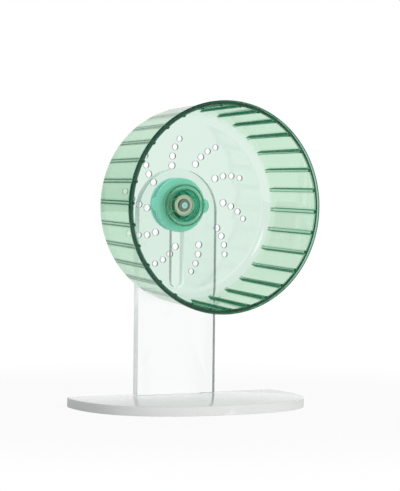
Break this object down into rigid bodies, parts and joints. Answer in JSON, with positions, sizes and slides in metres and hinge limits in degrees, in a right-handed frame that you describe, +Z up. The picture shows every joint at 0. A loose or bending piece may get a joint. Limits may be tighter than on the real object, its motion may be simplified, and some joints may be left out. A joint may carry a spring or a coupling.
{
  "type": "hamster exercise wheel",
  "caption": "Ribbed running wheel for a hamster on a ball bearing, set in height by a clamp knob in the slot of a clear upright plate on a flat D-shaped base.",
  "frame": {"origin": "underside of the base plate, in the middle of its width and depth", "axes": "+Z up, +X to the right as seen from the wheel's open side, +Y to the back; the wheel's axle is parallel to Y and its open side faces -Y"},
  "size_m": [0.2402, 0.1473, 0.3073],
  "materials": {
    "white_acrylic": "polished opaque white sheet",
    "clear_acrylic": "polished clear sheet",
    "green_plastic": "transparent green moulding",
    "mint_plastic": "opaque mint moulding, satin",
    "bright_steel": "ground steel",
    "shield_steel": "pressed steel",
    "dark_steel": "blackened spring steel",
    "cage_plastic": "moulded nylon",
    "brass": "turned brass"
  },
  "bodies": {
    "stand": {"base_plate": "white_acrylic", "upright_plate": "clear_acrylic"},
    "carriage": {"front_flange": "mint_plastic", "axle": "bright_steel", "retaining_ring": "dark_steel", "bearing_inner_ring": "bright_steel"},
    "wheel": {"wheel_drum": "green_plastic", "bearing_outer_ring": "bright_steel", "bearing_shield_front": "shield_steel", "bearing_shield_rear": "shield_steel"},
    "ball_train": {"bearing_cage": "cage_plastic", "bearing_ball_1": "bright_steel", "bearing_ball_2": "bright_steel", "bearing_ball_3": "bright_steel", "bearing_ball_4": "bright_steel", "bearing_ball_5": "bright_steel", "bearing_ball_6": "bright_steel", "bearing_ball_7": "bright_steel"},
    "clamp": {"clamp_washer": "bright_steel"},
    "knob": {"clamp_knob": "mint_plastic", "knob_insert": "brass"}
  },
  "joints": [
    {"name": "height_slide", "type": "slide", "parent": "stand", "child": "carriage", "axis": [0, 0, 1], "range_m": [-0.0729, 0]},
    {"name": "wheel_spin", "type": "hinge", "parent": "carriage", "child": "wheel", "pos_m": [0, -0.0538, 0.2024], "axis": [0, 1, 0], "continuous": true},
    {"name": "ball_train_spin", "type": "hinge", "parent": "carriage", "child": "ball_train", "pos_m": [0, -0.0538, 0.2024], "axis": [0, 1, 0], "continuous": true},
    {"name": "clamp_slide", "type": "slide", "parent": "carriage", "child": "clamp", "axis": [0, 1, 0], "range_m": [0, 0.00375]},
    {"name": "knob_turn", "type": "hinge", "parent": "clamp", "child": "knob", "pos_m": [0, -0.0538, 0.2024], "axis": [0, 1, 0], "range_deg": [0, 1080]}
  ],
  "couplings": [
    {"joint": "ball_train_spin", "follows": "wheel_spin", "ratio": 0.632},
    {"joint": "knob_turn", "follows": "clamp_slide", "rad_per_m": 5026.5}
  ]
}
